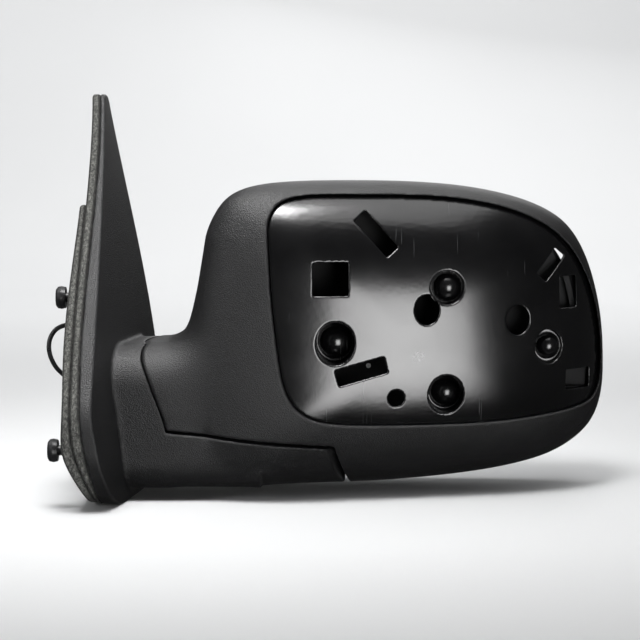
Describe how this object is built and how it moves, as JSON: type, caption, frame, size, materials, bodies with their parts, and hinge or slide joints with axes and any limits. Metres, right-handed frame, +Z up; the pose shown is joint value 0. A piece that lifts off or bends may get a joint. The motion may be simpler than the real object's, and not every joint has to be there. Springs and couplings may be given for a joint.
{
  "type": "car side mirror",
  "caption": "Left-hand fold-away door mirror with powered, heated glass, a triangular sail base with foam gaskets and locating pegs, shown without its paintable cap.",
  "frame": {"origin": "centre of the base bracket's middle pad, on the plane where the pads meet the door", "axes": "+X outboard, away from the door; -Y the vehicle's forward direction, so the front panel faces -Y and the glass +Y; +Z up"},
  "size_m": [0.4363, 0.2363, 0.309],
  "materials": {
    "textured_black": "fine-grained moulded black plastic",
    "smooth_black": "smooth semi-gloss moulded black plastic",
    "foam": "grey-flecked closed-cell foam with dark edges",
    "cast_metal": "as-cast, lightly blasted",
    "peg_black": "black coated steel",
    "steel": "zinc-plated",
    "spring_steel": "oiled spring steel",
    "grey_nylon": "moulded nylon",
    "white_acetal": "moulded acetal",
    "black_nylon": "moulded nylon",
    "mirror_face": "silvered flat glass",
    "heater_film": "printed film",
    "cord_black": "glossy black sleeving",
    "grommet_rubber": "moulded rubber",
    "tie_white": "nylon tie",
    "plug_grey": "moulded connector housing"
  },
  "bodies": {
    "base": {"base_cover": "textured_black", "base_bracket": "cast_metal", "gasket_inner": "foam", "gasket_outer": "foam", "mounting_pegs": "peg_black", "cover_screws": "steel", "pivot_tube": "steel", "lower_detent": "steel", "fold_spring": "spring_steel", "thrust_washer": "steel", "spring_retainer": "steel", "harness_grommet": "grommet_rubber", "harness": "cord_black", "harness_coil": "cord_black", "harness_tie": "tie_white", "harness_plug": "plug_grey"},
    "head": {"housing_shell": "textured_black", "front_panel": "smooth_black", "head_frame": "grey_nylon", "upper_detent": "steel", "pivot_bush": "white_acetal", "panel_screws": "steel", "actuator_front_case": "black_nylon", "actuator_rear_case": "black_nylon", "actuator_screws": "steel", "tilt_motor": "steel", "pan_motor": "steel"},
    "tilt_worm": {"tilt_worm": "white_acetal"},
    "pan_worm": {"pan_worm": "white_acetal"},
    "tilt_wheel": {"tilt_wheel": "white_acetal"},
    "pan_wheel": {"pan_wheel": "white_acetal"},
    "tilt_plunger": {"tilt_plunger": "white_acetal"},
    "pan_plunger": {"pan_plunger": "white_acetal"},
    "gimbal": {"gimbal_ring": "grey_nylon"},
    "glass": {"glass_backing": "black_nylon", "heater_pad": "heater_film", "mirror_glass": "mirror_face"}
  },
  "joints": [
    {"name": "head_fold", "type": "hinge", "parent": "base", "child": "head", "pos_m": [0.131, 0, -0.018], "axis": [0.0958, 0, 0.9954], "range_deg": [-35, 65]},
    {"name": "glass_tilt", "type": "hinge", "parent": "head", "child": "gimbal", "pos_m": [0.262, 0.0405, 0.064], "axis": [1, 0, 0], "range_deg": [-8, 8]},
    {"name": "glass_pan", "type": "hinge", "parent": "gimbal", "child": "glass", "pos_m": [0.262, 0.0405, 0.064], "axis": [0, 0, 1], "range_deg": [-8, 8]},
    {"name": "tilt_plunger_slide", "type": "slide", "parent": "head", "child": "tilt_plunger", "axis": [0, 1, 0], "range_m": [-0.00427, 0.00427]},
    {"name": "pan_plunger_slide", "type": "slide", "parent": "head", "child": "pan_plunger", "axis": [0, 1, 0], "range_m": [-0.00427, 0.00427]},
    {"name": "tilt_wheel_spin", "type": "hinge", "parent": "head", "child": "tilt_wheel", "pos_m": [0.262, 0.022, 0.094], "axis": [0, 1, 0], "range_deg": [-128.18, 128.18]},
    {"name": "pan_wheel_spin", "type": "hinge", "parent": "head", "child": "pan_wheel", "pos_m": [0.292, 0.022, 0.064], "axis": [0, 1, 0], "range_deg": [-128.18, 128.18]},
    {"name": "tilt_worm_spin", "type": "hinge", "parent": "head", "child": "tilt_worm", "pos_m": [0.262, 0.022, 0.0818], "axis": [1, 0, 0], "range_deg": [-1153.6, 1153.6]},
    {"name": "pan_worm_spin", "type": "hinge", "parent": "head", "child": "pan_worm", "pos_m": [0.2798, 0.022, 0.064], "axis": [0, 0, 1], "range_deg": [-1153.6, 1153.6]}
  ],
  "couplings": [
    {"joint": "tilt_plunger_slide", "follows": "glass_tilt", "m_per_rad": -0.03},
    {"joint": "pan_plunger_slide", "follows": "glass_pan", "m_per_rad": 0.03},
    {"joint": "tilt_wheel_spin", "follows": "glass_tilt", "ratio": -15.708},
    {"joint": "pan_wheel_spin", "follows": "glass_pan", "ratio": 15.708},
    {"joint": "tilt_worm_spin", "follows": "glass_tilt", "ratio": -141.37},
    {"joint": "pan_worm_spin", "follows": "glass_pan", "ratio": 141.37}
  ]
}
